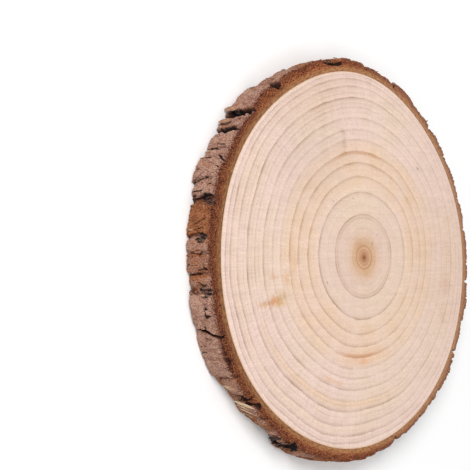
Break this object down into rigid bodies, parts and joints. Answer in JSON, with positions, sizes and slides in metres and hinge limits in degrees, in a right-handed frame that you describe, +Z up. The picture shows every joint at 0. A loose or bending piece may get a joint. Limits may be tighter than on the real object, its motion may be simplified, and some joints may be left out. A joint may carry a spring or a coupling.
{
  "type": "wood slice",
  "caption": "Round slice sawn across a small log, with a pale ringed wood face and a rim of furrowed brown bark.",
  "frame": {"origin": "middle of the slice's bounding box at the underside, on the surface that it lies on", "axes": "+Z up along the trunk's axis, out of the upper sawn face; +X and +Y in the sawn face, +X towards the thinner bark on the right of the picture and +Y towards its top"},
  "size_m": [0.141, 0.1418, 0.01],
  "materials": {
    "wood_disc": "pale bare wood, sawn across the grain and sanded, matt, with fine tan growth rings",
    "bark_ring": "rough dry reddish brown bark, greyer on the plates and near black in the furrows"
  },
  "bodies": {
    "root": {"wood_disc": "wood_disc", "bark_ring": "bark_ring"}
  },
  "joints": []
}
